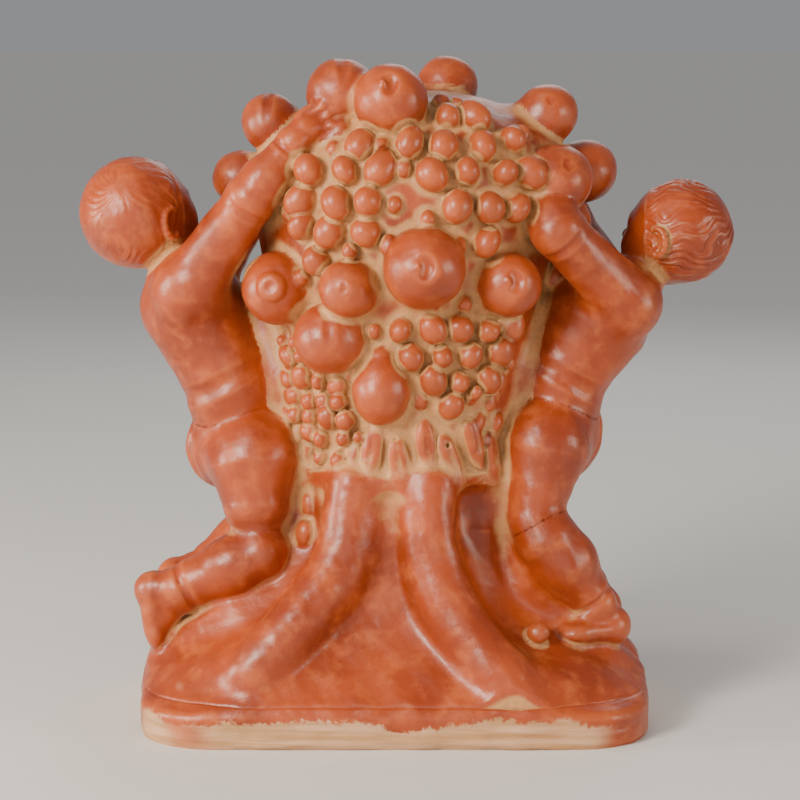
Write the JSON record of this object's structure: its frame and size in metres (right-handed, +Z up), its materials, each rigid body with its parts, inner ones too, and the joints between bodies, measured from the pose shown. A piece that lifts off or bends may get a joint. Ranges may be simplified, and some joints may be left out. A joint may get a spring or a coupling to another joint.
{
  "type": "clay tree of life",
  "caption": "Burnished terracotta sculpture: a fluted tree trunk on a slab opens into a crown of fruit, grapes and leaves, with an infant climbing each side",
  "frame": {"origin": "middle of the footprint, on the plane the slab rests on", "axes": "+Z up the trunk, +X across the pair from the left infant to the right one, -Y towards the viewer"},
  "size_m": [0.336, 0.1784, 0.3397],
  "materials": {
    "base_clay": "worn",
    "trunk_clay": "burnished",
    "crown_clay": "burnished",
    "infant_clay": "burnished"
  },
  "bodies": {
    "root": {"back_apple": "crown_clay", "back_peach": "crown_clay", "back_pear": "crown_clay", "back_pomegranate": "crown_clay", "back_quince": "crown_clay", "back_side_orange": "crown_clay", "back_top_orange": "crown_clay", "base_slab": "base_clay", "berries_back_lower_right": "crown_clay", "berries_front_lower_left": "crown_clay", "crown_core": "crown_clay", "fallen_berry": "crown_clay", "fluted_trunk": "trunk_clay", "front_apple": "crown_clay", "front_peach": "crown_clay", "front_pear": "crown_clay", "grapes_back_lower_left": "crown_clay", "grapes_back_upper_left": "crown_clay", "grapes_back_upper_right": "crown_clay", "grapes_front_lower_right": "crown_clay", "grapes_front_upper_left": "crown_clay", "grapes_front_upper_right": "crown_clay", "leaf_collar_back": "crown_clay", "leaf_collar_front": "crown_clay", "left_front_orange": "crown_clay", "left_infant_back_arm": "infant_clay", "left_infant_back_calf": "infant_clay", "left_infant_back_thigh": "infant_clay", "left_infant_ears": "infant_clay", "left_infant_feet": "infant_clay", "left_infant_front_arm": "infant_clay", "left_infant_front_calf": "infant_clay", "left_infant_front_thigh": "infant_clay", "left_infant_hands": "infant_clay", "left_infant_head": "infant_clay", "left_infant_hips": "infant_clay", "left_infant_torso": "infant_clay", "left_pomegranate": "crown_clay", "left_side_orange": "crown_clay", "left_upper_peach": "crown_clay", "right_front_apple": "crown_clay", "right_infant_back_arm": "infant_clay", "right_infant_back_calf": "infant_clay", "right_infant_back_thigh": "infant_clay", "right_infant_ears": "infant_clay", "right_infant_feet": "infant_clay", "right_infant_front_arm": "infant_clay", "right_infant_front_calf": "infant_clay", "right_infant_front_thigh": "infant_clay", "right_infant_hands": "infant_clay", "right_infant_head": "infant_clay", "right_infant_hips": "infant_clay", "right_infant_torso": "infant_clay", "right_quince": "crown_clay", "right_side_apple": "crown_clay", "right_small_fig": "crown_clay", "right_upper_orange": "crown_clay", "top_back_apple": "crown_clay", "top_front_apple": "crown_clay", "top_left_peach": "crown_clay"}
  },
  "joints": []
}
